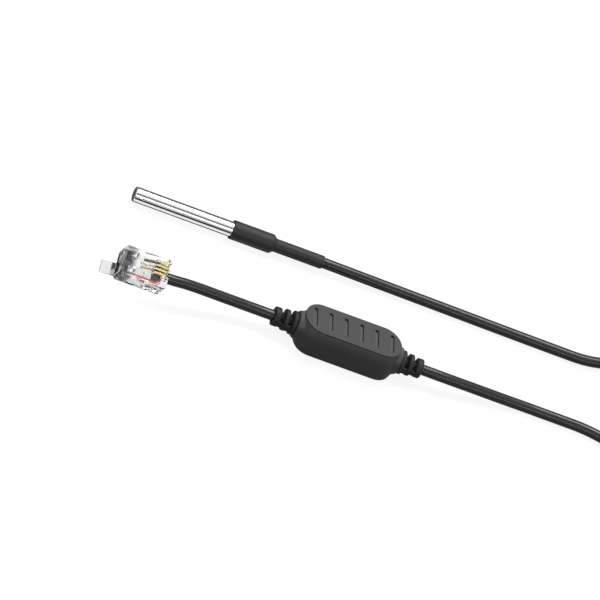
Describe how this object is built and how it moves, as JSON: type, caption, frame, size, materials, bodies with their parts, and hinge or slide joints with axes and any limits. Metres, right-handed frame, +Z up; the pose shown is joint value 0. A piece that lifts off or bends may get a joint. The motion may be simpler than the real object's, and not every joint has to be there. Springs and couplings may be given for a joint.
{
  "type": "temperature sensor",
  "caption": "Waterproof temperature probe in a closed steel tube on a round cable, with a pill-shaped inline module and a clear modular plug.",
  "frame": {"origin": "centre of the inline module's flat base, on the surface that the sensor lies on", "axes": "+X along the module's cable towards its long end, +Y away from the viewer towards the probe, +Z up"},
  "size_m": [0.19, 0.05, 0.0121],
  "materials": {
    "module_shell": "fine matte black",
    "relief": "soft black",
    "jacket": "satin black",
    "shrink": "dull black",
    "steel": "polished stainless steel",
    "clear_plastic": "clear polycarbonate",
    "gold": "gold plate",
    "board": "green solder mask",
    "package": "moulded black",
    "ceramic": "fired ceramic",
    "resin": "cured resin",
    "tie": "black strap",
    "core_red": "insulated wire",
    "core_black": "insulated wire",
    "core_yellow": "insulated wire",
    "core_white": "insulated wire"
  },
  "bodies": {
    "root": {"module_body": "module_shell", "module_cover": "module_shell", "strain_relief_left": "relief", "strain_relief_right": "relief", "circuit_board": "board", "converter_chip": "package", "capacitor_1": "ceramic", "capacitor_2": "ceramic", "resistor_1": "package", "plug_side_core_1": "core_black", "plug_side_core_2": "core_red", "plug_side_core_3": "core_yellow", "plug_side_core_4": "core_white", "probe_side_core_1": "core_black", "probe_side_core_2": "core_red", "probe_side_core_3": "core_yellow", "probe_tube": "steel", "sensor_chip": "package", "sensor_core_1": "core_black", "sensor_core_2": "core_red", "sensor_core_3": "core_yellow", "resin_seal": "resin", "heat_shrink_boot": "shrink", "plug_housing": "clear_plastic", "contact_1": "gold", "contact_2": "gold", "contact_3": "gold", "contact_4": "gold", "plug_core_1": "core_black", "plug_core_2": "core_white", "plug_core_3": "core_yellow", "plug_core_4": "core_red", "cable_to_plug": "jacket", "cable_to_coil": "jacket", "cable_coil": "jacket", "cable_to_probe": "jacket", "coil_tie": "tie"}
  },
  "joints": []
}
